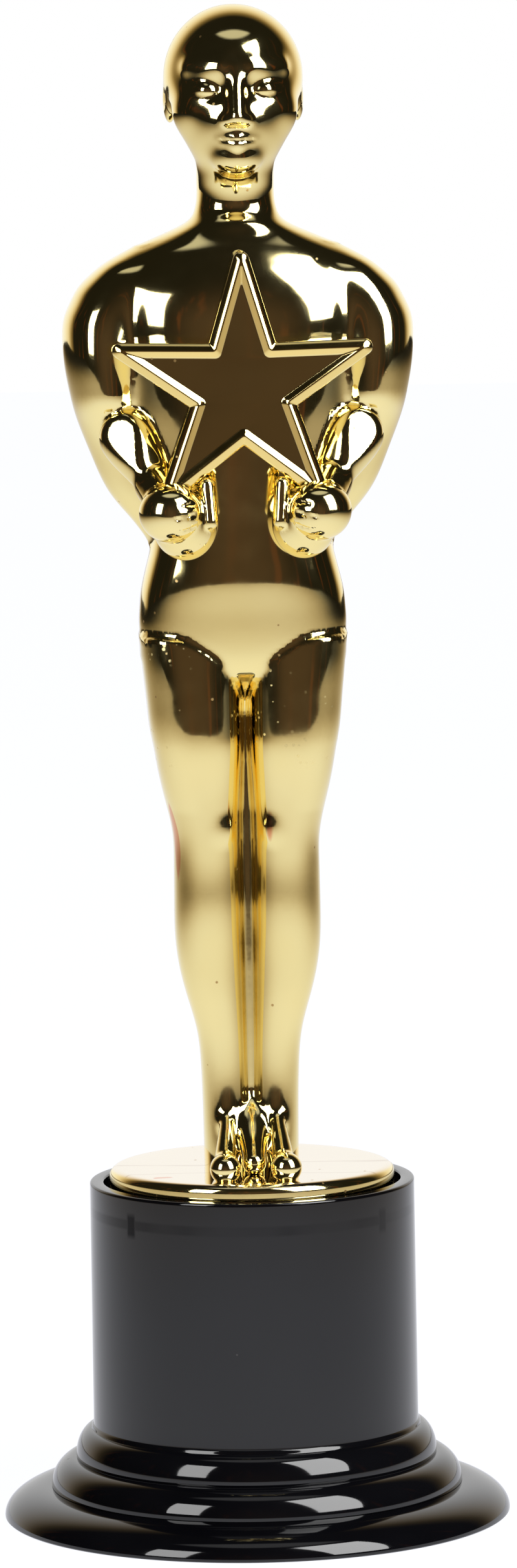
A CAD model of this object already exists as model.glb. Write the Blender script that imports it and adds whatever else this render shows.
"""Looks of the star trophy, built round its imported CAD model.

The gold figure is worked out as one smooth field in millimetres, meshed on a graded grid, and split along the
mould seam. The star, foot disc and pedestal are swept from their profiles. The figure faces -Y.
"""

import math

import bmesh
import bpy
import numpy as np
from mathutils import Euler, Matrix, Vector


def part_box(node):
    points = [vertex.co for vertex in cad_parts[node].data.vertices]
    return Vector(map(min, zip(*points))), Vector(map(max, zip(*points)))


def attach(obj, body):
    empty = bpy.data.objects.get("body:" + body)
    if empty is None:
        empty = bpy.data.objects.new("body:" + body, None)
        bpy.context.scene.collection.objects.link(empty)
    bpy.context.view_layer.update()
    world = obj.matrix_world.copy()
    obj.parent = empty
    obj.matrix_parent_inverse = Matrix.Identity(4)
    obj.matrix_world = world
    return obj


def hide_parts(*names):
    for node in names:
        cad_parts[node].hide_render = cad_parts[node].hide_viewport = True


MM = 0.001
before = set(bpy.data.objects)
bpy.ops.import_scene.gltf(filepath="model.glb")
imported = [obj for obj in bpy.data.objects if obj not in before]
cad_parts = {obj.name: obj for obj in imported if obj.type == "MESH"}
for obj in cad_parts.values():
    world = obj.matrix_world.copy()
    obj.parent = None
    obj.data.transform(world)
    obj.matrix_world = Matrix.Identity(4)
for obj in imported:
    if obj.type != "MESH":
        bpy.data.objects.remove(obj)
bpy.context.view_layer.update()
PEDESTAL_RADIUS, _, PEDESTAL_TOP = np.array(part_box("pedestal")[1]) / MM

DISC_TOP = 35.7
DISC_RADIUS = 14.4
DECK_Z = 32.4
DECK_THICKNESS = 1.5
SEAM = 0.08  # the gap between the two halves of the moulding
FIGURE_FLOOR = 34.8  # where the figure ends, inside the foot disc
RIB_ANGLE = 50  # degrees from straight in front, to either side
COARSE = 1.0
CHUNK = 40000  # points worked out at a time
REACH = 3  # how far above and below itself a part still shapes the field


# ------------------------------------------------------------------ field building blocks


def smooth_min(a, b, width):
    """The lower of two fields, with the corner between them rounded over a width."""
    h = np.maximum(width - np.abs(a - b), 0.0) / width
    return np.minimum(a, b) - h**3 * width / 6


def ellipsoid(p, centre, half):
    """An ellipsoid from its centre and its three half-axes."""
    q = [(v - c) / h for v, c, h in zip(p, centre, half)]
    k0 = np.sqrt(q[0] ** 2 + q[1] ** 2 + q[2] ** 2)
    k1 = np.sqrt(sum((v / h) ** 2 for v, h in zip(q, half)))
    return k0 * (k0 - 1) / np.maximum(k1, 1e-6)


def limb(p, a, b, ra, rb):
    """A round bar from a to b whose radius goes from ra to rb."""
    ax = [bb - aa for aa, bb in zip(a, b)]
    length2 = sum(v * v for v in ax)
    t = sum((v - aa) * d for v, aa, d in zip(p, a, ax)) / length2
    t = np.clip(t, 0, 1)
    gap = np.sqrt(sum((v - aa - t * d) ** 2 for v, aa, d in zip(p, a, ax)))
    return gap - (ra + (rb - ra) * t * t * (3 - 2 * t))


class Table:
    """Natural cubic splines through the rows of a table; the first column rises."""

    def __init__(self, rows):
        rows = np.array(rows, float)
        keys = rows[:, 0]
        n = len(keys)
        gaps = np.diff(keys)
        matrix = np.eye(n)
        right = np.zeros((n, rows.shape[1] - 1))
        for i in range(1, n - 1):
            matrix[i, i - 1 : i + 2] = gaps[i - 1] / 6, (gaps[i - 1] + gaps[i]) / 3, gaps[i] / 6
            rise = (rows[i + 1, 1:] - rows[i, 1:]) / gaps[i]
            right[i] = rise - (rows[i, 1:] - rows[i - 1, 1:]) / gaps[i - 1]
        bend = np.linalg.solve(matrix, right)
        self.at = np.linspace(keys[0], keys[-1], 4000)
        i = np.clip(np.searchsorted(keys, self.at, "right") - 1, 0, n - 2)
        gap = gaps[i][:, None]
        a = (keys[i + 1] - self.at)[:, None] / gap
        b = 1 - a
        self.columns = (
            a * rows[i, 1:]
            + b * rows[i + 1, 1:]
            + ((a**3 - a) * bend[i] + (b**3 - b) * bend[i + 1]) * gap**2 / 6
        ).T

    def __call__(self, z):
        """Every column after the first, at heights z."""
        return [np.interp(z, self.at, column) for column in self.columns]

    def field(self, p, x_of):
        """Distance to a stack of level sections; x_of gives centre and half width from the columns."""
        x, y, z = p
        centre, half, front, back, e = x_of(self(z))
        depth = np.where(y < 0, front, back)
        u = np.abs((x - centre) / half) + 1e-9
        v = np.abs(y / depth) + 1e-9
        r = (u**e + v**e) ** (1 / e)
        slope = np.sqrt((u ** (e - 1) / half) ** 2 + (v ** (e - 1) / depth) ** 2) * r ** (1 - e)
        return (r - 1) / slope


# ------------------------------------------------------------------ the figure's tables, in mm

# z, half width, front depth, back depth, squareness
TRUNK = Table(
    [
        [79, 0.8, 0.8, 0.8, 2.3],
        [82, 1.2, 1.6, 2.4, 2.3],
        [84.2, 2.0, 3.6, 4.6, 2.4],
        [85.4, 6.0, 5.3, 5.4, 2.6],
        [86.5, 9.3, 6.2, 6.0, 2.7],
        [88.2, 10.1, 6.70, 6.7, 3.1],
        [90, 10.34, 6.93, 6.9, 3.1],
        [92.3, 10.33, 7.15, 6.9, 3.1],
        [94.0, 10.15, 7.34, 6.6, 3.1],
        [95.2, 9.9, 7.45, 6.4, 3.1],
        [97, 9.45, 7.5, 5.9, 3.1],
        [98.8, 9.05, 7.58, 5.4, 3.05],
        [101, 9.1, 7.68, 5.1, 3.0],
        [103, 9.8, 7.8, 5.0, 2.95],
        [105.5, 10.6, 7.95, 5.2, 2.95],
        [108.5, 11.1, 8.15, 5.7, 2.9],
        [112, 11.5, 8.35, 6.4, 3.0],
        [116, 11.9, 8.5, 7.1, 3.0],
        [119, 12.2, 8.6, 7.5, 3.0],
        [121, 12.3, 8.62, 7.6, 3.0],
        [122.7, 12.4, 8.45, 7.5, 2.9],
        [124.5, 12.5, 8.0, 7.1, 2.6],
        [125.8, 12.3, 7.45, 6.7, 2.4],
        [127.1, 11.6, 6.75, 6.2, 2.3],
        [128.4, 10.0, 6.0, 5.7, 2.3],
        [129.7, 7.25, 5.25, 5.2, 2.3],
        [130.9, 4.85, 4.75, 4.8, 2.3],
        [132.0, 4.1, 3.95, 4.5, 2.3],
        [133.0, 3.9, 3.9, 4.4, 2.2],
        [134.2, 3.85, 4.25, 4.4, 2.15],
        [135.3, 3.85, 4.85, 4.5, 2.1],
        [137, 3.7, 5.0, 4.6, 2.1],
    ]
)
# z, outer x, inner x, front depth, back depth, for the arm and the leg at +X
ARM = Table(
    [
        [99.0, 9.2, 7.8, 1.0, 1.0],
        [99.9, 9.9, 7.5, 1.6, 1.8],
        [101.2, 10.9, 7.4, 2.2, 2.6],
        [102.5, 12.0, 7.5, 2.6, 3.3],
        [103.8, 13.0, 7.7, 2.9, 3.9],
        [105.1, 13.75, 8.0, 3.1, 4.3],
        [107.7, 14.85, 8.4, 3.5, 4.9],
        [110.0, 15.75, 8.9, 4.2, 5.2],
        [111.4, 16.25, 9.1, 5.2, 5.35],
        [112.6, 16.6, 9.25, 6.35, 5.45],
        [114.2, 16.95, 9.35, 6.8, 5.5],
        [116.5, 17.35, 9.35, 6.95, 5.7],
        [119, 17.54, 9.2, 6.9, 5.8],
        [121.9, 17.2, 8.9, 6.5, 5.7],
        [123.2, 16.6, 8.6, 6.1, 5.5],
        [124.5, 15.85, 8.2, 5.5, 5.1],
        [125.8, 14.55, 7.8, 4.8, 4.6],
        [127.1, 12.8, 7.6, 3.8, 3.8],
        [128.4, 10.2, 7.6, 2.0, 2.0],
    ]
)
LEG = Table(
    [
        [34.0, 4.75, 0.1, 3.9, 3.9],
        [38.0, 4.8, 0.1, 3.8, 3.8],
        [42.0, 4.85, 0.15, 3.5, 3.7],
        [45.6, 4.95, 0.2, 3.4, 3.7],
        [49.6, 5.35, 0.25, 3.6, 4.1],
        [53.5, 6.4, 0.3, 4.0, 4.9],
        [57.5, 7.2, 0.35, 4.4, 5.6],
        [60.5, 7.38, 0.4, 4.74, 5.8],
        [62.5, 7.38, 0.4, 4.88, 5.7],
        [64.5, 7.36, 0.42, 4.93, 5.5],
        [66.5, 7.34, 0.45, 5.02, 5.2],
        [69.3, 7.4, 0.45, 5.3, 4.9],
        [73.2, 8.2, 0.4, 5.75, 5.1],
        [76.0, 8.8, 0.35, 6.25, 5.6],
        [78.2, 9.17, 0.3, 6.68, 5.95],
        [80.0, 9.5, 0.3, 6.82, 6.2],
        [83.0, 9.82, 0.3, 6.88, 6.6],
        [87.0, 10.2, 0.35, 6.88, 6.9],
        [89.2, 10.38, 0.5, 6.75, 6.8],
        [91.0, 10.45, 0.8, 6.5, 6.3],
        [93.0, 10.1, 1.5, 5.4, 5.2],
    ]
)


def whole(columns):
    half, front, back, square = columns
    return 0.0, half, front, back, square


def one_side(columns):
    outer, inner, front, back = columns
    return (outer + inner) / 2, np.maximum((outer - inner) / 2, 0.15), front, back, 2.35


def thigh_and_shin(p):
    """One leg, cut off above along the sloping groin crease."""
    x, y, z = p
    square = 2.35 + 0.9 * np.clip((z - 72) / 7, 0, 1)
    leg = LEG.field(p, lambda columns: (*one_side(columns)[:4], square))
    crease = smooth_min(-(z - 85.5 - 0.62 * x) * 0.85, -(z - 89.6), 1.5)
    return -smooth_min(-leg, crease, 0.3)


def web(p):
    """The filled gap between the legs."""
    x, y, z = p
    r = np.sqrt((x / 1.6) ** 2 + (y / 1.8) ** 2)
    return np.maximum((r - 1) * 1.7, z - 86)


def forearm(p):
    """A short slanting limb whose front is two nearly flat faces that meet in an upright ridge."""
    x, y, z = p
    bar = limb(p, (11.3, -5.8, 109.7), (8.4, -8.6, 104.6), 2.85, 1.75)
    outer = 0.345 * (x - 10.2) - 0.89 * (y + 9.35) + 0.30 * (z - 107.6)
    inner = -0.345 * (x - 10.2) - 0.89 * (y + 9.35) + 0.30 * (z - 107.6)
    roof = -smooth_min(-outer, -inner, 0.5)
    return -smooth_min(-roof, -bar, 0.7)


def lid_line(p):
    """The fine line where each closed eye's lids meet, a shallow arc."""
    x, y, z = p
    across = (x - 2.8) / 1.5
    arc_z = 143.4 + 0.3 * across**2
    gap = np.sqrt((z - arc_z) ** 2 + (y + 6.8 - 0.75 * across**2) ** 2)
    return np.maximum(gap - 0.11, (np.abs(across) - 0.95) * 1.5)


# Each part: lowest z, highest z, blend width (below 0 it is carved out), and its field at (|x|, y, z).
PARTS = [
    # trunk, legs and upper arms
    (79, 137, 0, lambda p: TRUNK.field(p, whole)),
    (34, 93, 0.8, thigh_and_shin),
    (34, 86, 0.7, web),
    (99, 128.4, 1.6, lambda p: ARM.field(p, one_side)),
    # front of the shoulders
    (112, 127, 3.0, lambda p: limb(p, (10.9, -2.6, 116.0), (10.6, -2.7, 124.0), 2.3, 2.5)),
    # seat, groove of the spine and shoulder blades
    (84, 97, 2.5, lambda p: ellipsoid(p, (4.3, 3.6, 90.2), (4.6, 4.3, 5.2))),
    (92, 124, -3.0, lambda p: limb(p, (0, 9.6, 97), (0, 10.8, 119), 2.6, 2.4)),
    (110, 124, 3.0, lambda p: ellipsoid(p, (6.6, 4.6, 116.5), (4.2, 3.0, 5.2))),
    # knees
    (67, 75, 0.9, lambda p: ellipsoid(p, (2.85, -4.38, 70.2), (1.2, 0.72, 1.5))),
    # insteps, toes and the slope between the feet
    (34, 46, 0.9, lambda p: limb(p, (2.45, -2.6, 41.4), (3.0, -8.2, 36.4), 0.7, 1.1)),
    (34, 40, 0.5, lambda p: limb(p, (3.0, -8.4, 36.8), (3.05, -10.9, 36.9), 1.35, 1.55)),
    (34, 46, 1.2, lambda p: limb(p, (0, -1.0, 40.8), (0, -6.8, 36.8), 2.0, 1.2)),
    # forearms, wrists, upper arms' fronts, and hands with thumbs and the grooves between fingers
    (99, 116, 0.5, forearm),
    (98, 108, 0.8, lambda p: limb(p, (8.7, -8.7, 104.9), (7.5, -11.8, 102.9), 2.0, 2.0)),
    (106, 122, 2.0, lambda p: limb(p, (10.4, -3.0, 113.2), (10.6, -3.0, 118.0), 2.0, 2.3)),
    (97, 106, 0.5, lambda p: ellipsoid(p, (5.9, -9.9, 101.3), (3.2, 3.5, 3.6))),
    (98, 107, 0.35, lambda p: ellipsoid(p, (7.35, -12.3, 102.6), (3.15, 3.0, 2.95))),
    (99, 107, 0.35, lambda p: limb(p, (3.7, -11.9, 105.2), (3.45, -12.3, 101.6), 0.8, 0.75)),
    (102, 105, -0.2, lambda p: limb(p, (5.0, -14.05, 103.6), (6.5, -15.05, 103.4), 0.15, 0.1)),
    (100, 104, -0.2, lambda p: limb(p, (4.9, -14.2, 102.5), (6.8, -15.2, 102.1), 0.16, 0.11)),
    (99, 103, -0.2, lambda p: limb(p, (4.95, -13.8, 101.3), (6.7, -14.65, 100.9), 0.15, 0.1)),
    # head: cranium, face block, chin and cheeks
    (136, 153, 1.5, lambda p: ellipsoid(p, (0, 0.7, 145.2), (6.95, 7.8, 7.2))),
    (134, 148, 2.4, lambda p: ellipsoid(p, (0, -2.4, 141.1), (5.3, 5.5, 5.6))),
    (134, 140, 1.9, lambda p: ellipsoid(p, (0, -5.7, 137.3), (2.3, 1.75, 1.7))),
    (137, 146, 2.6, lambda p: ellipsoid(p, (4.1, -3.3, 141.8), (1.8, 2.3, 2.0))),
    # brow, sockets, closed eyes
    (142, 149, 2.2, lambda p: limb(p, (1.6, -6.2, 146.2), (4.4, -4.7, 146.2), 0.55, 0.45)),
    (141, 147, -1.4, lambda p: ellipsoid(p, (2.75, -8.2, 144.1), (2.0, 1.7, 1.35))),
    (141, 147, 0.5, lambda p: ellipsoid(p, (2.8, -5.0, 143.9), (1.6, 1.9, 1.2))),
    (142, 145, -0.12, lid_line),
    # nose
    (138, 147, 1.3, lambda p: limb(p, (0, -6.5, 146.0), (0, -8.35, 141.3), 0.55, 0.8)),
    (138, 143, 0.8, lambda p: ellipsoid(p, (0.8, -7.7, 141.0), (0.7, 0.9, 0.6))),
    # mouth
    (136, 141, 0.9, lambda p: limb(p, (0, -7.45, 139.3), (1.6, -6.8, 139.15), 0.45, 0.2)),
    (136, 140, 0.8, lambda p: limb(p, (0, -7.35, 138.5), (1.3, -6.85, 138.65), 0.5, 0.22)),
    (137, 140, -0.15, lambda p: limb(p, (0, -8.0, 138.93), (1.7, -7.25, 139.0), 0.1, 0.07)),
    # ears
    (139, 148, 0.5, lambda p: ellipsoid(p, (6.35, 1.2, 143.0), (0.7, 1.45, 2.3))),
    (140, 146, -0.3, lambda p: ellipsoid(p, (7.2, 0.8, 143.3), (0.5, 0.75, 1.3))),
]


# The parts that come from tables, by their highest z. They are cut off level there and at their lowest z.
TABLE_TOPS = (137, 93, 128.4)


def figure_field(points):
    """The figure's field at N points, which are sorted by z or nearly so."""
    out = np.empty(len(points))
    for start in range(0, len(points), CHUNK):
        chunk = points[start : start + CHUNK]
        p = (np.abs(chunk[:, 0]), chunk[:, 1], chunk[:, 2])
        bottom, top = p[2].min(), p[2].max()
        value = None
        # every chunk lies at some part's height, and the first part there starts the field
        for first, last, width, part in PARTS:
            if top < first - REACH or bottom > last + REACH:
                continue
            here = part(p)
            if last in TABLE_TOPS:
                here = np.maximum(here, np.maximum(first - p[2], p[2] - last))
            if value is None:
                value = here
            elif width < 0:
                value = -smooth_min(-value, here, -width)
            else:
                value = smooth_min(value, here, max(width, 0.01))
        out[start : start + CHUNK] = np.maximum(value, FIGURE_FLOOR - p[2])
    return out


# ------------------------------------------------------------------ meshing the field


def graded(*runs):
    """Grid lines from (start, end, step) runs laid end to end."""
    lines = [runs[0][0]]
    for start, end, step in runs:
        count = max(1, round((end - start) / (step * COARSE)))
        lines.extend(start + (end - start) * (i + 1) / count for i in range(count))
    return np.array(lines)


CELL_CORNERS = [(dz, dy, dx) for dz in (0, 1) for dy in (0, 1) for dx in (0, 1)]


def shifted(array, corner, shape):
    """A view of the array, of that shape, that starts at one of a cell's corners."""
    return array[tuple(slice(start, start + count) for start, count in zip(corner, shape))]


def spread(array, step):
    """The array with every entry repeated along all three axes."""
    for axis in range(3):
        array = np.repeat(array, step, axis)
    return array


def sample(zs, ys, xs, step=4):
    """The field on the grid, worked out in full only near the surface. Order is z, y, x, with x from 0 up."""

    def pad(lines):
        extra = -(len(lines) - 1) % step
        return np.concatenate([lines, lines[-1] + (np.arange(extra) + 1) * 0.5])

    zs, ys, xs = pad(zs), pad(ys), pad(xs)
    coarse = [a[::step] for a in (zs, ys, xs)]
    grid = np.stack(np.meshgrid(*coarse, indexing="ij"), -1).reshape(-1, 3)[:, ::-1]
    rough = figure_field(grid).reshape([len(a) for a in coarse])
    near = np.abs(rough) < 2.6 * COARSE
    blocks = np.zeros([len(a) - 1 for a in coarse], bool)
    for corner in CELL_CORNERS:
        blocks |= shifted(near, corner, blocks.shape)
    values = spread(rough, step)[: len(zs), : len(ys), : len(xs)].copy()
    wanted = np.zeros(values.shape, bool)
    wide = spread(blocks, step)
    for corner in CELL_CORNERS:
        window = shifted(wanted, corner, wide.shape)
        window |= wide
    k, j, i = np.nonzero(wanted)
    values[k, j, i] = figure_field(np.stack([xs[i], ys[j], zs[k]], 1))
    return values, zs, ys, xs


def surface_nets(values, zs, ys, xs):
    """Vertices and quads of the zero surface, one vertex in each cell that the surface crosses."""
    inside = values < 0
    shape = [n - 1 for n in values.shape]
    count = sum(shifted(inside, corner, shape).astype(np.int8) for corner in CELL_CORNERS)
    cells = np.argwhere((count > 0) & (count < 8))
    lines = (zs, ys, xs)
    total = np.zeros((len(cells), 3))
    hits = np.zeros(len(cells))
    for corner in CELL_CORNERS:
        for axis in range(3):
            if corner[axis]:
                continue
            far = list(corner)
            far[axis] = 1
            at_c, at_d = cells + corner, cells + far
            a = values[tuple(at_c.T)]
            b = values[tuple(at_d.T)]
            cross = (a < 0) != (b < 0)
            t = np.where(cross, a / np.where(cross, a - b, 1), 0)
            for m in range(3):
                start = lines[m][at_c[:, m]]
                end = lines[m][at_d[:, m]]
                total[:, m] += np.where(cross, start + (end - start) * t, 0)
            hits += cross
    points = (total / hits[:, None])[:, ::-1]
    index = np.full(shape, -1)
    index[tuple(cells.T)] = np.arange(len(cells))
    quads = []
    for axis in range(3):
        a = [slice(1, -1)] * 3
        b = [slice(1, -1)] * 3
        a[axis], b[axis] = slice(0, -1), slice(1, None)
        change = inside[tuple(a)] != inside[tuple(b)]
        at = np.argwhere(change) + [0 if m == axis else 1 for m in range(3)]
        leaving = inside[tuple(at.T)]
        m, n = [v for v in range(3) if v != axis]
        around = []
        for dm, dn in ((-1, -1), (0, -1), (0, 0), (-1, 0)):
            where = at.copy()
            where[:, m] += dm
            where[:, n] += dn
            around.append(index[tuple(where.T)])
        around = np.stack(around, 1)
        # the order z, y, x is left-handed, so the middle axis turns the other way
        flip = leaving if axis == 1 else ~leaving
        around[~flip] = around[~flip][:, ::-1]
        quads.append(around)
    return points, np.concatenate(quads)


def settle(points, quads, passes=3):
    """Evens out the mesh and puts every vertex exactly on the surface."""
    a = quads.reshape(-1)
    b = np.roll(quads, 1, 1).reshape(-1)
    step = 0.02
    for round_ in range(passes):
        if round_:
            total = np.stack(
                [
                    np.bincount(a, points[b, m], len(points)) + np.bincount(b, points[a, m], len(points))
                    for m in range(3)
                ],
                1,
            )
            near = np.bincount(a, minlength=len(points)) + np.bincount(b, minlength=len(points))
            points = 0.5 * points + 0.5 * total / near[:, None]
        for _ in range(2 if round_ == passes - 1 else 1):
            value = figure_field(points)
            slope = np.stack([figure_field(points + step * np.eye(3)[m]) - value for m in range(3)], 1) / step
            length2 = np.maximum((slope**2).sum(1), 0.05)
            move = slope * (value / length2)[:, None]
            reach = np.sqrt((move**2).sum(1))
            move *= np.minimum(1, 0.3 / np.maximum(reach, 1e-9))[:, None]
            points = points - move
    return points


def figure_surface():
    """The figure's mesh in mm, made on the +X side and mirrored; cells are smallest at the head and hands."""
    zs = graded((34, 46, 0.3), (46, 97, 0.45), (97, 107.5, 0.27), (107.5, 134, 0.4), (134, 153.6, 0.2))
    ys = graded((-16.8, -4, 0.28), (-4, 9.8, 0.42))
    xs = graded((0, 8.4, 0.26), (8.4, 18.8, 0.38))
    values, zs, ys, xs = sample(zs, ys, xs)
    values = np.concatenate([values[:, :, :0:-1], values], 2)
    xs = np.concatenate([-xs[:0:-1], xs])
    points, quads = surface_nets(values, zs, ys, xs)
    return settle(points, quads), quads


# ------------------------------------------------------------------ meshes and pieces


def new_object(name, mesh):
    """An object of the trophy, on its only body and in a material slot."""
    mesh.name = name
    obj = bpy.data.objects.new(name, mesh)
    bpy.context.scene.collection.objects.link(obj)
    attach(obj, "root")
    return obj


def bm_from(points, faces):
    """An editable mesh from points in mm."""
    mesh = bpy.data.meshes.new("work")
    mesh.from_pydata((np.asarray(points) * MM).tolist(), [], [list(f) for f in faces])
    bm = bmesh.new()
    bm.from_mesh(mesh)
    bpy.data.meshes.remove(mesh)
    return bm


def bm_to_mesh(bm, name, sharp_angle=None):
    """A smooth-shaded mesh; edges over the sharp angle, in degrees, keep their crease."""
    bm.normal_update()
    for face in bm.faces:
        face.smooth = True
    if sharp_angle:
        for edge in bm.edges:
            if len(edge.link_faces) == 2 and edge.calc_face_angle(0) > math.radians(sharp_angle):
                edge.smooth = False
    mesh = bpy.data.meshes.new(name)
    bm.to_mesh(mesh)
    bm.free()
    return mesh


def keep_half(bm, end):
    """Cuts a closed mesh along the seam, keeps the front (-1) or back (1) half and closes it."""
    y = end * SEAM / 2 * MM
    result = bmesh.ops.bisect_plane(
        bm,
        geom=[*bm.verts, *bm.edges, *bm.faces],
        dist=1e-7,
        plane_co=(0, y, 0),
        plane_no=(0, -end, 0),
        clear_outer=True,
    )
    rim = [e for e in result["geom_cut"] if isinstance(e, bmesh.types.BMEdge)]
    for edge in rim:
        edge.smooth = False
    bmesh.ops.edgeloop_fill(bm, edges=[e for e in rim if e.is_valid and e.is_boundary])
    bmesh.ops.recalc_face_normals(bm, faces=bm.faces)
    return bm


def lathe(profile, segments):
    """A solid turned round Z from a closed or axis-to-axis profile of (radius, z)."""
    points, rings = [], []
    for r, z in profile:
        if r < 1e-6:
            rings.append([len(points)] * segments)
            points.append((0, 0, z))
        else:
            rings.append(list(range(len(points), len(points) + segments)))
            for i in range(segments):
                angle = 2 * math.pi * i / segments
                points.append((r * math.cos(angle), r * math.sin(angle), z))
    pairs = list(zip(rings, rings[1:]))
    if profile[0][0] > 1e-6 and profile[-1][0] > 1e-6:
        pairs.append((rings[-1], rings[0]))
    faces = []
    for lower, upper in pairs:
        for i in range(segments):
            j = (i + 1) % segments
            face = [lower[i], lower[j], upper[j], upper[i]]
            face = [v for n, v in enumerate(face) if v != face[n - 1]]
            faces.append(face)
    return bm_from(points, faces)


def arc(cx, cz, rx, rz, start, end, count):
    """Points on an ellipse's arc, angles in degrees from +X towards +Z."""
    angles = np.radians(np.linspace(start, end, count))
    return [(cx + rx * math.cos(t), cz + rz * math.sin(t)) for t in angles]


# ------------------------------------------------------------------ materials


class Nodes:
    """A material's node tree, built up a node at a time."""

    def __init__(self, name):
        self.material = bpy.data.materials.new(name)
        self.material.use_nodes = True
        self.tree = self.material.node_tree
        self.shader = self.tree.nodes["Principled BSDF"]
        self.where = self.add("ShaderNodeTexCoord").outputs["Object"]

    def add(self, kind, links=(), **settings):
        node = self.tree.nodes.new(kind)
        for key, value in settings.items():
            if hasattr(node, key):
                setattr(node, key, value)
            else:
                node.inputs[key.replace("_", " ")].default_value = value
        for name, output in dict(links).items():
            self.tree.links.new(output, node.inputs[name])
        return node

    def noise(self, scale, detail=3.0, rough=0.5, stretch=None):
        where = self.where
        if stretch:
            where = self.add("ShaderNodeMapping", {"Vector": where}, Scale=stretch).outputs["Vector"]
        node = self.add("ShaderNodeTexNoise", {"Vector": where}, Scale=scale, Detail=detail, Roughness=rough)
        return node.outputs["Fac"]

    def ramp(self, source, low, high, to_low, to_high):
        node = self.add(
            "ShaderNodeMapRange",
            {"Value": source},
            From_Min=low,
            From_Max=high,
            To_Min=to_low,
            To_Max=to_high,
        )
        return node.outputs["Result"]

    def math(self, operation, a, b=0.0):
        node = self.add("ShaderNodeMath", operation=operation)
        for socket, value in zip(node.inputs, (a, b)):
            if isinstance(value, (int, float)):
                socket.default_value = value
            else:
                self.tree.links.new(value, socket)
        return node.outputs[0]

    def mix(self, factor, a, b):
        node = self.add("ShaderNodeMix", {"Factor": factor}, data_type="RGBA")
        node.inputs["A"].default_value = (*a, 1) if isinstance(a, tuple) else (0, 0, 0, 1)
        node.inputs["B"].default_value = (*b, 1)
        if not isinstance(a, tuple):
            self.tree.links.new(a, node.inputs["A"])
        return node.outputs["Result"]

    def specks(self, scale, size, share):
        """1 inside small round specks that only some cells hold."""
        cell = self.add("ShaderNodeTexVoronoi", {"Vector": self.where}, Scale=scale, feature="F1")
        spot = self.ramp(cell.outputs["Distance"], size, size * 0.6, 0, 1)
        pick = self.add("ShaderNodeSeparateColor", {"Color": cell.outputs["Color"]})
        chosen = self.math("GREATER_THAN", pick.outputs["Red"], 1 - share)
        return self.math("MULTIPLY", spot, chosen)

    def bump(self, height, distance, strength=1.0, under=None):
        links = {"Height": height}
        if under is not None:
            links["Normal"] = under
        node = self.add("ShaderNodeBump", links, Strength=strength, Distance=distance)
        return node.outputs["Normal"]

    def set(self, **sockets):
        for key, value in sockets.items():
            socket = self.shader.inputs[key.replace("_", " ")]
            if isinstance(value, bpy.types.NodeSocket):
                self.tree.links.new(value, socket)
            else:
                socket.default_value = value
        return self.material


def gold_material(name, disc=False, star=False):
    """Worn mirror gold; the foot disc and the star have a tone of their own."""
    n = Nodes(name)
    cloud = n.noise(60, 3)
    tint = n.mix(n.ramp(cloud, 0.35, 0.65, 0, 1), (0.98, 0.84, 0.41), (0.96, 0.80, 0.36))
    place = n.add("ShaderNodeSeparateXYZ", {"Vector": n.where})
    if disc:
        # the flat top is paler than the rim and has a few drawn-out streaks
        flat = n.ramp(place.outputs["Z"], (DISC_TOP - 0.35) * MM, (DISC_TOP - 0.12) * MM, 0, 1)
        streak = n.noise(70, 2, 0.5, stretch=(0.22, 1.0, 1.0))
        streak = n.ramp(n.math("ABSOLUTE", n.math("SUBTRACT", streak, 0.5)), 0.012, 0.0, 0, 0.55)
        pale = n.mix(streak, (0.93, 0.84, 0.68), (0.55, 0.42, 0.30))
        node = n.add("ShaderNodeMix", {"Factor": flat}, data_type="RGBA")
        n.tree.links.new(tint, node.inputs["A"])
        n.tree.links.new(pale, node.inputs["B"])
        tint = node.outputs["Result"]
    if star:
        # the raised edge is a deeper gold than the face
        tint = n.mix(n.ramp(place.outputs["Y"], -0.01215, -0.01222, 0, 1), tint, (0.93, 0.72, 0.27))
    # upright scuffs on the legs where the coating has rubbed to orange
    scuffs = n.ramp(n.noise(210, 2, 0.5, stretch=(1.0, 1.0, 0.22)), 0.69, 0.71, 0, 0.8)
    scuffs = n.math("MULTIPLY", scuffs, n.ramp(place.outputs["Z"], 0.092, 0.088, 0, 1))
    tint = n.mix(scuffs, tint, (0.80, 0.30, 0.14))
    pits = n.specks(900, 0.16, 0.06)
    tint = n.mix(pits, tint, (0.55, 0.36, 0.14))
    rough = n.ramp(n.noise(350, 4, 0.6), 0.3, 0.75, 0.045, 0.10)
    rough = n.math("ADD", rough, n.math("MULTIPLY", pits, 0.3))
    # clusters of fine grain on the thighs
    thighs = n.math("ABSOLUTE", n.math("SUBTRACT", place.outputs["Z"], 0.083))
    grain = n.math("MULTIPLY", n.specks(1500, 0.3, 0.4), n.ramp(n.noise(150, 2), 0.5, 0.62, 0, 1))
    grain = n.math("MULTIPLY", grain, n.ramp(thighs, 0.008, 0.005, 0, 0.45))
    rough = n.math("ADD", rough, grain)
    wave = n.bump(n.noise(95, 1.5), 0.00003)
    fine = n.bump(n.noise(700, 2), 0.000002, under=wave)
    return n.set(Base_Color=tint, Metallic=1.0, Roughness=rough, Normal=fine)


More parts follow.
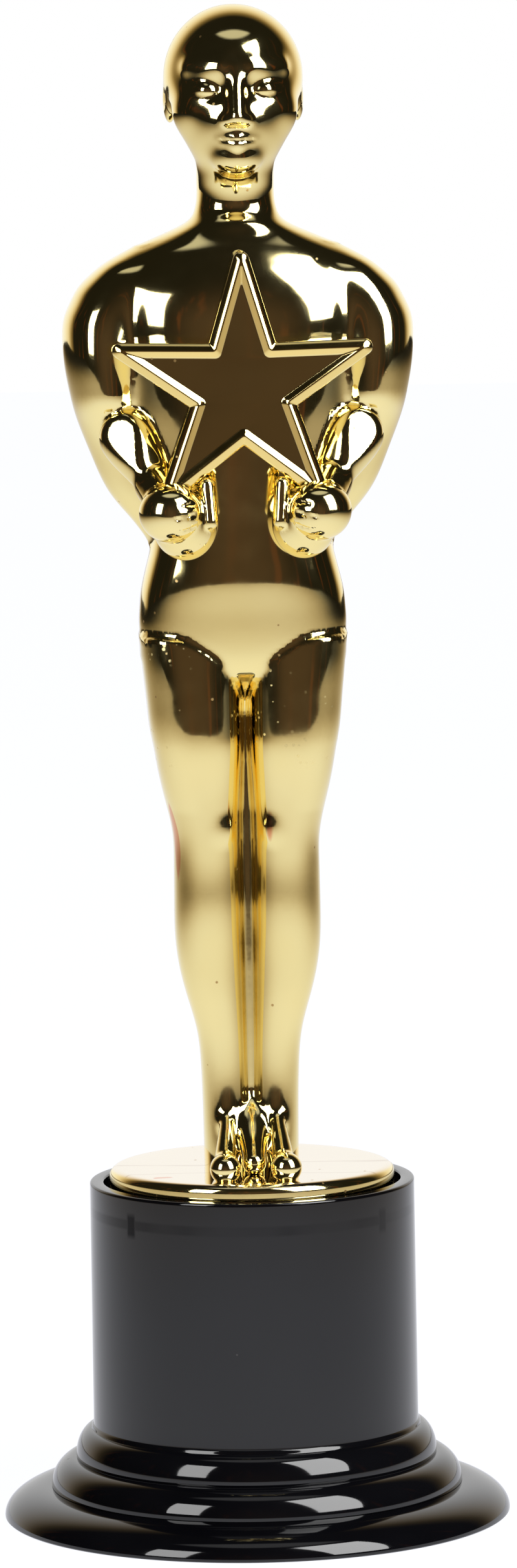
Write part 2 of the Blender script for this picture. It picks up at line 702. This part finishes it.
def black_material():
    """Glossy black plastic with a little dust and a few dull marks."""
    n = Nodes("black_gloss_plastic")
    dust = n.specks(420, 0.13, 0.035)
    cloud = n.ramp(n.noise(45, 4, 0.6), 0.35, 0.7, 0, 1)
    base = n.mix(cloud, (0.0015, 0.0015, 0.0022), (0.0030, 0.0030, 0.0040))
    base = n.mix(dust, base, (0.16, 0.15, 0.15))
    rough = n.ramp(n.noise(150, 5, 0.65), 0.3, 0.75, 0.03, 0.09)
    rough = n.math("ADD", rough, n.math("MULTIPLY", dust, 0.4))
    # duller marks on the cup: a faint level line by the deck and a short upright one over each rib
    place = n.add("ShaderNodeSeparateXYZ", {"Vector": n.where})
    x, y, z = (place.outputs[name] for name in "XYZ")

    def close_to(value, centre, reach):
        """1 where the value lies within a reach of its centre."""
        gap = n.math("ABSOLUTE", n.math("SUBTRACT", value, centre))
        return n.ramp(gap, reach, reach * 0.6, 0, 1)

    radius2 = n.math("ADD", n.math("POWER", x, 2), n.math("POWER", y, 2))
    outer = n.math("GREATER_THAN", radius2, 0.0158**2)
    around = n.math("ARCTAN2", x, n.math("MULTIPLY", y, -1))
    line = n.math("MULTIPLY", close_to(z, 0.0314, 0.0006), n.ramp(n.noise(120, 2), 0.35, 0.6, 0.1, 0.45))
    dull = line
    for side, strength in ((-1, 0.9), (1, 0.4)):
        over_rib = close_to(around, side * math.radians(RIB_ANGLE), 0.042)
        mark = n.math("MULTIPLY", close_to(z, 0.0313, 0.0014), over_rib)
        dull = n.math("MAXIMUM", dull, n.math("MULTIPLY", mark, strength))
    shine = n.ramp(n.math("MULTIPLY", dull, outer), 0, 1, 0.5, 0.12)
    wave = n.bump(n.noise(40, 1.5), 0.00004)
    return n.set(Base_Color=base, Roughness=rough, IOR=1.52, Specular_IOR_Level=shine, Normal=wave)


def steel_material():
    """Bright zinc plate, lightly brushed."""
    n = Nodes("zinc_plated_steel")
    cloud = n.ramp(n.noise(900, 3), 0.35, 0.7, 0, 1)
    base = n.mix(cloud, (0.62, 0.63, 0.65), (0.50, 0.50, 0.52))
    rough = n.ramp(n.noise(2200, 3), 0.3, 0.7, 0.25, 0.42)
    return n.set(Base_Color=base, Metallic=1.0, Roughness=rough, Normal=n.bump(n.noise(1500, 2), 0.00001))


GOLD = gold_material("gold_metallised")
DISC_GOLD = gold_material("gold_metallised_disc", disc=True)
STAR_GOLD = gold_material("gold_metallised_star", star=True)
BLACK = black_material()
STEEL = steel_material()


def finish_piece(obj, material, *nodes):
    """Gives a piece its material, and says which CAD nodes it stands in for."""
    obj.data.materials.clear()
    obj.data.materials.append(material)
    if nodes:
        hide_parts(*nodes)
    return obj


# ------------------------------------------------------------------ the figure


def build_figure():
    """The figure as its two moulded halves."""
    points, quads = figure_surface()
    for end, where in ((-1, "front"), (1, "back")):
        bm = keep_half(bm_from(points, quads), end)
        obj = new_object(f"figure_{where}", bm_to_mesh(bm, f"figure_{where}"))
        finish_piece(obj, GOLD, f"figure_{where}_shell")


# ------------------------------------------------------------------ the star

STAR_Z = 114.7
CREST_TIP = 12.75  # from the star's centre to the ridge's tips and notches
CREST_NOTCH = 4.6
HALF_POINT = math.radians(36)  # between a tip and the next notch
# from the centre straight out to the ridge's edges
EDGE_DISTANCE = CREST_TIP * CREST_NOTCH * math.sin(HALF_POINT) / math.dist(
    (0, CREST_TIP),
    (CREST_NOTCH * math.sin(HALF_POINT), CREST_NOTCH * math.cos(HALF_POINT)),
)


def filleted_star(offset, tip_radius, notch_radius, steps=6):
    """The ridge's crest moved outwards by an offset, with every corner rounded.

    The count of points is the same each time, so that outlines can be joined ring to ring.
    """
    scale = (EDGE_DISTANCE + offset) / EDGE_DISTANCE
    corners = []
    for i in range(10):
        angle = math.radians(90 + 36 * i)
        radius = (CREST_TIP if i % 2 == 0 else CREST_NOTCH) * scale
        corners.append(Vector((radius * math.cos(angle), radius * math.sin(angle))))
    ring = []
    for i, corner in enumerate(corners):
        to_last = (corners[i - 1] - corner).normalized()
        to_next = (corners[(i + 1) % 10] - corner).normalized()
        half = math.acos(max(-1, min(1, to_last.dot(to_next)))) / 2
        radius = tip_radius if i % 2 == 0 else notch_radius
        bisector = (to_last + to_next).normalized()
        centre = corner + bisector * (radius / math.sin(half))
        spread = math.pi / 2 - half
        base = math.atan2(-bisector.y, -bisector.x)
        turn = 1 if i % 2 == 0 else -1
        for k in range(steps + 1):
            angle = base + turn * spread * (2 * k / steps - 1)
            ring.append((centre.x + radius * math.cos(angle), centre.y + radius * math.sin(angle)))
    return ring


def build_star():
    """A plate with a ridge round a sunken face; its back is buried in the chest and hands."""
    # offset from the crest line, y, and how round the tips and notches are there
    rings = [
        (0.78, -3.0, 0.80, 0.12),
        (0.78, -11.95, 0.80, 0.12),
        (0.75, -12.10, 0.78, 0.13),
        (0.65, -12.20, 0.70, 0.14),
        (0.36, -12.38, 0.42, 0.20),
        (0.12, -12.535, 0.22, 0.30),
        (0.03, -12.57, 0.16, 0.34),
        (-0.05, -12.57, 0.14, 0.38),
        (-0.14, -12.53, 0.12, 0.42),
        (-0.34, -12.38, 0.12, 0.52),
        (-0.58, -12.19, 0.12, 0.62),
        (-0.65, -12.15, 0.12, 0.66),
        (-0.73, -12.14, 0.12, 0.70),
    ]
    outlines = [(y, filleted_star(offset, tip, notch)) for offset, y, tip, notch in rings]
    count = len(outlines[0][1])
    points = [(x, y, STAR_Z + z) for y, outline in outlines for x, z in outline]
    faces = []
    for r in range(len(rings) - 1):
        for i in range(count):
            j = (i + 1) % count
            a, b = r * count, (r + 1) * count
            faces.append([a + i, a + j, b + j, b + i])
    faces.append([(len(rings) - 1) * count + i for i in range(count)])
    faces.append([count - 1 - i for i in range(count)])
    bm = bm_from(points, faces)
    bmesh.ops.recalc_face_normals(bm, faces=bm.faces)
    obj = new_object("star", bm_to_mesh(bm, "star", 50))
    finish_piece(obj, STAR_GOLD, "figure_front_shell")


# ------------------------------------------------------------------ the foot disc


def build_disc():
    """The foot disc's two halves; the back one is a little smaller and lower, so the seam shows a step."""
    edge = 0.85  # the rounding of the rim
    for end, where, shrink, drop in ((-1, "front", 1.0, 0.0), (1, "back", 0.994, 0.05)):
        top = DISC_TOP - drop
        profile = [(0, DECK_Z + 0.05), (DISC_RADIUS - 0.25, DECK_Z + 0.05), (DISC_RADIUS, DECK_Z + 0.3)]
        profile += arc(DISC_RADIUS - edge, top - edge, edge, edge, 0, 90, 12)
        profile += [(DISC_RADIUS * f, top - 0.02 * (1 - f * f)) for f in (0.85, 0.6, 0.3)]
        profile += [(0, top - 0.02)]
        bm = lathe([(r * shrink, z) for r, z in profile], 192)
        keep_half(bm, end)
        obj = new_object(f"foot_disc_{where}", bm_to_mesh(bm, f"foot_disc_{where}", 40))
        finish_piece(obj, DISC_GOLD, f"figure_{where}_shell")


# ------------------------------------------------------------------ the pedestal


def boolean(obj, tool, operation):
    """Joins the tool to the object, or cuts it out, and removes the tool."""
    modifier = obj.modifiers.new(operation, "BOOLEAN")
    modifier.object = tool
    modifier.operation = operation
    modifier.solver = "EXACT"
    bpy.context.view_layer.update()
    graph = bpy.context.evaluated_depsgraph_get()
    mesh = bpy.data.meshes.new_from_object(obj.evaluated_get(graph))
    obj.modifiers.clear()
    old = obj.data
    obj.data = mesh
    bpy.data.meshes.remove(old)
    bpy.data.objects.remove(tool)


def tool_object(bm):
    """A mesh as an object that a boolean can use."""
    mesh = bpy.data.meshes.new("tool")
    bm.to_mesh(mesh)
    bm.free()
    obj = bpy.data.objects.new("tool", mesh)
    bpy.context.scene.collection.objects.link(obj)
    return obj


def pedestal_profile():
    """The moulding's outline as (radius, z): up the outside, down to the deck, and back under it."""
    radius = PEDESTAL_RADIUS - 0.1
    top = PEDESTAL_TOP
    rim, wall = 16.4, 1.4
    foot_z, foot_radius = 9.7, 16.48  # where the cup's straight wall starts
    underside = DECK_Z - DECK_THICKNESS
    # three rounded steps
    profile = [(radius - 0.35, 0.0), (radius - 0.12, 0.04), (radius - 0.01, 0.15)]
    profile += arc(20.7, 0.15, radius - 20.7, 2.95, 2, 90, 26)
    profile += [(20.66, 3.02)]
    profile += arc(18.25, 3.15, 2.6, 2.92, 0, 90, 22)
    profile += [(18.2, 6.0)]
    profile += arc(16.55, 6.2, 1.75, 2.85, 0, 84, 18)
    profile += [(16.68, 9.12), (16.66, 9.3), (16.58, 9.42), (16.5, 9.5)]
    # the cup, its rim and the sunken deck
    profile += [
        (foot_radius + (rim - foot_radius) * t, foot_z + (top - 0.35 - foot_z) * t)
        for t in np.linspace(0, 1, 16)
    ]
    profile += arc(rim - 0.22, top - 0.22, 0.22, 0.22, 10, 90, 6)
    profile += arc(rim - wall + 0.2, top - 0.2, 0.2, 0.2, 90, 180, 6)
    profile += [(rim - wall, DECK_Z + 0.25), (rim - wall - 0.2, DECK_Z), (0, DECK_Z)]
    # the hollow underneath
    profile += [(0, underside), (rim - 1.9, underside), (rim - 1.5, underside - 0.4)]
    profile += [(15.2, 9.2), (15.5, 8.0), (16.9, 5.4), (17.4, 4.6), (19.3, 2.4), (20.3, 1.8)]
    profile += [(22.6, 1.3), (23.8, 0.6), (24.0, 0.0)]
    return profile


def build_pedestal():
    """The turned moulding with two ribs under the deck and two screw holes through it."""
    rib = Vector((1.2, 30.6, 6.2)) * MM
    rib_z = DECK_Z - DECK_THICKNESS - 2.9
    hole_radius, hole_y = 2.3, 8
    profile = pedestal_profile()
    # the outline has to start and end on the axis
    split = next(i for i, (r, z) in enumerate(profile) if r == 0)
    ring = profile[split + 1 :] + profile[: split + 1]
    bm = lathe(ring, 256)
    bmesh.ops.recalc_face_normals(bm, faces=bm.faces)
    obj = new_object("pedestal_body", bm_to_mesh(bm, "pedestal_body"))
    for side in (1, -1):
        bm = bmesh.new()
        bmesh.ops.create_cube(bm, size=1.0)
        bmesh.ops.scale(bm, vec=rib, verts=bm.verts)
        bmesh.ops.bevel(bm, geom=bm.edges[:], offset=0.2 * MM, segments=2, affect="EDGES")
        bmesh.ops.translate(bm, vec=(0, 0, rib_z * MM), verts=bm.verts)
        turn = Euler((0, 0, side * math.radians(RIB_ANGLE))).to_matrix()
        bmesh.ops.rotate(bm, cent=(0, 0, 0), matrix=turn, verts=bm.verts)
        boolean(obj, tool_object(bm), "UNION")
    for end in (1, -1):
        bm = bmesh.new()
        radius = hole_radius * MM
        bmesh.ops.create_cone(bm, cap_ends=True, segments=48, radius1=radius, radius2=radius, depth=6 * MM)
        bmesh.ops.translate(
            bm, vec=(0, end * hole_y * MM, (DECK_Z - DECK_THICKNESS / 2) * MM), verts=bm.verts
        )
        boolean(obj, tool_object(bm), "DIFFERENCE")
    bm = bmesh.new()
    bm.from_mesh(obj.data)
    obj.data = bm_to_mesh(bm, "pedestal_body", 32)
    finish_piece(obj, BLACK, "pedestal")


# ------------------------------------------------------------------ camera, floor and light


def build_camera():
    """A long lens, level with the figure's head and looking a little down."""
    distance, height = 0.730, 0.152
    yaw, tilt, roll = (math.radians(v) for v in (2.2, 6.076, 0.98))
    data = bpy.data.cameras.new("camera")
    data.sensor_width = 36
    data.lens = 167.45562
    data.shift_x = 0.0084466
    data.clip_start, data.clip_end = 0.05, 20
    camera = bpy.data.objects.new("camera", data)
    camera.location = (-distance * math.sin(yaw), -distance * math.cos(yaw), height)
    look = Euler((math.pi / 2 - tilt, 0, -yaw), "XYZ").to_matrix()
    turn = Euler((0, 0, -roll)).to_matrix()
    camera.rotation_euler = (look @ turn).to_euler("XYZ")
    bpy.context.scene.collection.objects.link(camera)
    bpy.context.scene.camera = camera


def build_floor():
    """A pale table top that gives off light: plain white to the camera, and a soft glow to the trophy."""
    half_width = 1.6
    near, middle, far = -0.45, 0.4, 2.2
    bm = bmesh.new()
    bmesh.ops.create_grid(bm, x_segments=2, y_segments=2, size=1.0)
    for v in bm.verts:
        v.co.x *= half_width
        v.co.y = near if v.co.y < -0.5 else (middle if abs(v.co.y) < 0.5 else far)
    mesh = bpy.data.meshes.new("floor")
    bm.to_mesh(mesh)
    bm.free()
    floor = bpy.data.objects.new("floor", mesh)
    bpy.context.scene.collection.objects.link(floor)
    n = Nodes("pale_floor")
    place = n.add("ShaderNodeSeparateXYZ", {"Vector": n.where})
    across = n.math("DIVIDE", place.outputs["X"], 0.40)
    ahead = n.math("DIVIDE", n.math("MINIMUM", place.outputs["Y"], 0), 0.5)
    spread = n.math("ADD", n.math("POWER", across, 2), n.math("POWER", ahead, 2))
    glow = n.math("MULTIPLY", n.math("EXPONENT", n.math("MULTIPLY", spread, -1)), 0.9)
    seen = n.add("ShaderNodeLightPath").outputs["Is Camera Ray"]
    glow = n.math("MAXIMUM", glow, seen)
    tone = n.ramp(n.noise(3, 2), 0.3, 0.7, 0, 1)
    n.set(Base_Color=n.mix(tone, (0.05, 0.05, 0.05), (0.06, 0.06, 0.06)), Roughness=0.9)
    shade = n.mix(n.ramp(glow, 0.05, 0.8, 0, 1), (1.0, 0.72, 0.36), (0.97, 0.98, 1.04))
    n.set(Emission_Color=shade, Emission_Strength=glow, Specular_IOR_Level=0.0)
    floor.data.materials.append(n.material)


def softbox(name, azimuth, width, bottom, top, strength):
    """A rectangular light that faces the trophy. Azimuth is from straight in front, positive to +X."""
    distance = 0.75
    data = bpy.data.lights.new(name, "AREA")
    data.shape = "RECTANGLE"
    data.size, data.size_y = width, top - bottom
    data.energy = strength * math.pi * width * (top - bottom)
    light = bpy.data.objects.new(name, data)
    angle = math.radians(azimuth)
    place = Vector((math.sin(angle) * distance, -math.cos(angle) * distance, (bottom + top) / 2))
    light.location = place
    aim = Vector((0, 0, 0.08)) - place
    light.rotation_euler = aim.to_track_quat("-Z", "Y").to_euler()
    bpy.context.scene.collection.objects.link(light)


def build_world():
    """White behind and to the sides, a dim brown room in front, and plain white for the camera itself."""
    world = bpy.data.worlds.new("studio")
    bpy.context.scene.world = world
    world.use_nodes = True
    tree = world.node_tree
    tree.nodes.clear()

    def add(kind, **settings):
        node = tree.nodes.new(kind)
        for key, value in settings.items():
            setattr(node, key, value)
        return node

    def link(output, target):
        if isinstance(output, (int, float)):
            target.default_value = output
        else:
            tree.links.new(output, target)

    def math_node(operation, a, b=0.0):
        node = add("ShaderNodeMath", operation=operation)
        for value, target in zip((a, b), node.inputs):
            link(value, target)
        return node.outputs[0]

    def smooth(value, low, high, to_high):
        node = add("ShaderNodeMapRange", interpolation_type="SMOOTHSTEP")
        link(value, node.inputs["Value"])
        for name, number in (("From Min", low), ("From Max", high), ("To Max", to_high)):
            node.inputs[name].default_value = number
        return node.outputs["Result"]

    def mix(factor, a, b):
        node = add("ShaderNodeMix", data_type="RGBA")
        link(factor, node.inputs["Factor"])
        for name, value in (("A", a), ("B", b)):
            if isinstance(value, tuple):
                node.inputs[name].default_value = (*value, 1)
            else:
                tree.links.new(value, node.inputs[name])
        return node.outputs["Result"]

    where = add("ShaderNodeTexCoord").outputs["Generated"]
    split = add("ShaderNodeSeparateXYZ")
    tree.links.new(where, split.inputs[0])
    x, y, z = (split.outputs[name] for name in "XYZ")
    azimuth = math_node("ARCTAN2", x, math_node("MULTIPLY", y, -1))
    # upright streaks of warm furniture in a dim room
    flat = add("ShaderNodeCombineXYZ")
    link(azimuth, flat.inputs["X"])
    link(math_node("MULTIPLY", z, 0.22), flat.inputs["Y"])
    noise = add("ShaderNodeTexNoise")
    tree.links.new(flat.outputs[0], noise.inputs["Vector"])
    noise.inputs["Scale"].default_value = 7.0
    noise.inputs["Detail"].default_value = 2.5
    level = math_node("SUBTRACT", 1, smooth(math_node("ABSOLUTE", z), 0.35, 0.75, 1.0))
    streak = math_node("MULTIPLY", smooth(noise.outputs["Fac"], 0.56, 0.72, 1.0), level)
    room = mix(streak, (0.013, 0.012, 0.009), (0.11, 0.035, 0.012))
    ahead = math_node("POWER", math_node("MULTIPLY", azimuth, 2.6), 2)
    ahead = math_node("ADD", ahead, math_node("POWER", math_node("MULTIPLY", z, 2.2), 2))
    ahead = math_node("EXPONENT", math_node("MULTIPLY", ahead, -1))
    room = mix(math_node("MULTIPLY", ahead, 0.85), room, (0.080, 0.052, 0.034))
    # a dim panel overhead, a little in front
    overhead = math_node("MULTIPLY", smooth(z, 0.90, 0.94, 1.0), smooth(y, -0.06, -0.14, 1.0))
    room = mix(math_node("MULTIPLY", overhead, 0.55), room, (1.0, 1.0, 1.0))
    # a white sweep behind, shading off to the sides and overhead
    warm = mix(smooth(y, 0.40, 0.86, 1.0), room, (0.72, 0.50, 0.22))
    seen = mix(smooth(y, 0.54, 0.96, 1.0), warm, (1.0, 1.0, 1.0))
    path = add("ShaderNodeLightPath")
    seen = mix(path.outputs["Is Camera Ray"], seen, (1.0, 1.0, 1.0))
    background = add("ShaderNodeBackground")
    tree.links.new(seen, background.inputs["Color"])
    output = add("ShaderNodeOutputWorld")
    tree.links.new(background.outputs[0], output.inputs[0])


def build_studio():
    build_camera()
    build_floor()
    build_world()
    softbox("softbox_right", 45, 0.46, 0.10, 1.00, 9)
    softbox("softbox_left", -44, 0.28, 0.10, 0.62, 7)
    bpy.context.scene.view_settings.view_transform = "Standard"


build_studio()
build_figure()
build_star()
build_disc()
build_pedestal()
for node in ("fixing_screw_front", "fixing_screw_back", "screw_washer_front", "screw_washer_back"):
    finish_piece(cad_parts[node], STEEL)
